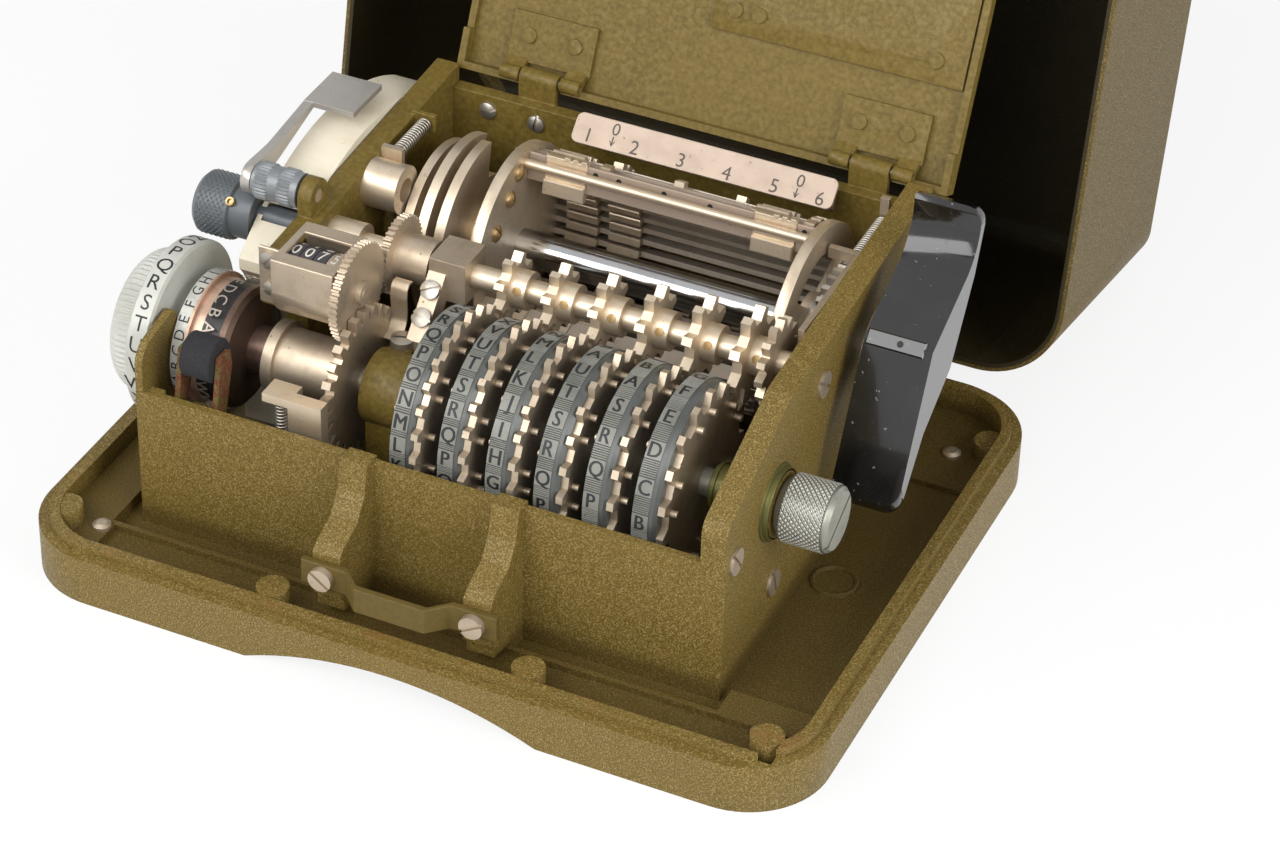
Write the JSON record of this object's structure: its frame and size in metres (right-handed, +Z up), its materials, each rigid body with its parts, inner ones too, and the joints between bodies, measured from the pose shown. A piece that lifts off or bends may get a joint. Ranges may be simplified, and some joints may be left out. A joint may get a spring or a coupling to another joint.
{
  "type": "pinwheel cipher machine",
  "caption": "Portable pinwheel cipher machine in an olive-drab case, standing open, with key wheels, a lug drum, a type wheel, a tape feed and a power handle.",
  "frame": {"origin": "middle of the tray's flat underside", "axes": "+X to the right of a person using it, +Y to the back where the cover is hinged, +Z up"},
  "size_m": [0.178, 0.2396, 0.151],
  "materials": {
    "olive_paint": "wrinkled olive-drab enamel",
    "nickel": "dull nickel plate",
    "steel": "worn steel",
    "dark_steel": "darkened steel",
    "chrome": "polished",
    "grey_paint": "blue-grey enamel",
    "ivory": "aged ivory",
    "cream": "cream enamel",
    "bakelite": "polished black",
    "type_copper": "copper tone",
    "rusted": "rusted",
    "felt": "inked felt",
    "paper": "plain"
  },
  "bodies": {
    "frame": {"tray": "olive_paint", "front_wall": "olive_paint", "carry_strap": "olive_paint", "fasteners": "nickel", "left_plate": "olive_paint", "right_plate": "olive_paint", "rear_wall": "olive_paint", "index_plate": "nickel", "drum_stop_bracket": "nickel", "axle_bracket": "olive_paint", "bearing_block": "nickel", "bushes": "nickel", "fixed_pins": "steel", "counter_case": "nickel", "type_axle": "steel", "ink_holder": "rusted", "tape_housing": "cream", "springs": "steel"},
    "cover": {"outer_cover": "olive_paint"},
    "lid": {"inner_lid": "olive_paint", "lid_fittings": "olive_paint"},
    "drum": {"drum_shaft": "chrome", "drum_left_disc": "nickel", "drum_right_ring": "nickel", "drum_cams": "steel", "drum_gear": "steel", "power_handle": "bakelite"},
    "bars": {"slide_bars": "dark_steel", "bar_lugs": "nickel"},
    "feed": {"feed_shaft": "nickel", "feed_stars": "nickel", "feed_gear": "nickel"},
    "wheel_1": {"key_wheel_1": "grey_paint", "wheel_pins_1": "nickel"},
    "wheel_2": {"key_wheel_2": "grey_paint", "wheel_pins_2": "nickel"},
    "wheel_3": {"key_wheel_3": "grey_paint", "wheel_pins_3": "nickel"},
    "wheel_4": {"key_wheel_4": "grey_paint", "wheel_pins_4": "nickel"},
    "wheel_5": {"key_wheel_5": "grey_paint", "wheel_pins_5": "nickel"},
    "wheel_6": {"key_wheel_6": "grey_paint", "wheel_pins_6": "nickel"},
    "axle": {"key_axle": "nickel"},
    "guides": {"guide_arms": "steel"},
    "counter": {"counter_gear": "nickel"},
    "digits": {"digit_wheels": "dark_steel"},
    "type_group": {"setting_knob": "ivory", "letter_disc": "ivory", "type_wheel": "type_copper", "type_sleeve": "nickel", "detent_wheel": "nickel"},
    "pawl": {"detent_pawl": "nickel"},
    "ink": {"ink_roller": "felt"},
    "roll": {"paper_roll": "paper"},
    "tape_feed": {"tape_feed_knob": "dark_steel"},
    "lever": {"press_lever": "steel"},
    "press": {"press_roller": "grey_paint"}
  },
  "joints": [
    {"name": "cover_close", "type": "hinge", "parent": "frame", "child": "cover", "pos_m": [0, 0.0725, 0.0114], "axis": [1, 0, 0], "range_deg": [0, 101.5]},
    {"name": "lid_close", "type": "hinge", "parent": "frame", "child": "lid", "pos_m": [0, 0.0615, 0.0665], "axis": [1, 0, 0], "range_deg": [0, 115.2]},
    {"name": "drum_turn", "type": "hinge", "parent": "frame", "child": "drum", "pos_m": [0, 0.032, 0.0435], "axis": [1, 0, 0], "continuous": true},
    {"name": "feed_turn", "type": "hinge", "parent": "frame", "child": "feed", "pos_m": [0, 0.0008, 0.0562], "axis": [1, 0, 0], "continuous": true},
    {"name": "wheel_1_turn", "type": "hinge", "parent": "frame", "child": "wheel_1", "pos_m": [0, -0.0215, 0.039], "axis": [1, 0, 0], "continuous": true},
    {"name": "wheel_2_turn", "type": "hinge", "parent": "frame", "child": "wheel_2", "pos_m": [0, -0.0215, 0.039], "axis": [1, 0, 0], "continuous": true},
    {"name": "wheel_3_turn", "type": "hinge", "parent": "frame", "child": "wheel_3", "pos_m": [0, -0.0215, 0.039], "axis": [1, 0, 0], "continuous": true},
    {"name": "wheel_4_turn", "type": "hinge", "parent": "frame", "child": "wheel_4", "pos_m": [0, -0.0215, 0.039], "axis": [1, 0, 0], "continuous": true},
    {"name": "wheel_5_turn", "type": "hinge", "parent": "frame", "child": "wheel_5", "pos_m": [0, -0.0215, 0.039], "axis": [1, 0, 0], "continuous": true},
    {"name": "wheel_6_turn", "type": "hinge", "parent": "frame", "child": "wheel_6", "pos_m": [0, -0.0215, 0.039], "axis": [1, 0, 0], "continuous": true},
    {"name": "counter_turn", "type": "hinge", "parent": "frame", "child": "counter", "pos_m": [0, -0.0182, 0.0584], "axis": [1, 0, 0], "continuous": true},
    {"name": "digits_turn", "type": "hinge", "parent": "frame", "child": "digits", "pos_m": [0, -0.0182, 0.0584], "axis": [1, 0, 0], "continuous": true},
    {"name": "axle_turn", "type": "hinge", "parent": "frame", "child": "axle", "pos_m": [0, -0.0215, 0.039], "axis": [1, 0, 0], "continuous": true},
    {"name": "type_turn", "type": "hinge", "parent": "frame", "child": "type_group", "pos_m": [0, -0.0215, 0.039], "axis": [1, 0, 0], "continuous": true},
    {"name": "ink_turn", "type": "hinge", "parent": "frame", "child": "ink", "pos_m": [0, -0.03851, 0.047], "axis": [1, 0, 0], "continuous": true},
    {"name": "roll_turn", "type": "hinge", "parent": "frame", "child": "roll", "pos_m": [0, 0.0358, 0.0362], "axis": [1, 0, 0], "continuous": true},
    {"name": "tape_feed_turn", "type": "hinge", "parent": "frame", "child": "tape_feed", "pos_m": [0, 0.0008, 0.0562], "axis": [1, 0, 0], "continuous": true},
    {"name": "press_turn", "type": "hinge", "parent": "frame", "child": "press", "pos_m": [0, -0.0009, 0.0665], "axis": [1, 0, 0], "continuous": true},
    {"name": "lever_lift", "type": "hinge", "parent": "frame", "child": "lever", "pos_m": [0, -0.0009, 0.0665], "axis": [-1, 0, 0], "range_deg": [-25, 0]},
    {"name": "guides_rock", "type": "hinge", "parent": "frame", "child": "guides", "pos_m": [0, 0.0046, 0.012], "axis": [1, 0, 0], "range_deg": [-2.5, 2.5], "stiffness_Nm_per_rad": 0.5},
    {"name": "pawl_rock", "type": "hinge", "parent": "frame", "child": "pawl", "pos_m": [0, -0.0399, 0.033], "axis": [1, 0, 0], "range_deg": [0, 4], "stiffness_Nm_per_rad": 0.05},
    {"name": "bars_slide", "type": "slide", "parent": "drum", "child": "bars", "axis": [-1, 0, 0], "range_m": [0, 0.0028]}
  ],
  "couplings": [
    {"joint": "lid_close", "follows": "cover_close", "ratio": 1.133},
    {"joint": "feed_turn", "follows": "drum_turn", "ratio": 0.125},
    {"joint": "wheel_1_turn", "follows": "drum_turn", "ratio": -0.038462},
    {"joint": "wheel_2_turn", "follows": "drum_turn", "ratio": -0.04},
    {"joint": "wheel_3_turn", "follows": "drum_turn", "ratio": -0.043478},
    {"joint": "wheel_4_turn", "follows": "drum_turn", "ratio": -0.047619},
    {"joint": "wheel_5_turn", "follows": "drum_turn", "ratio": -0.052632},
    {"joint": "wheel_6_turn", "follows": "drum_turn", "ratio": -0.058824},
    {"joint": "counter_turn", "follows": "drum_turn", "ratio": -0.1},
    {"joint": "digits_turn", "follows": "drum_turn", "ratio": -0.01}
  ]
}
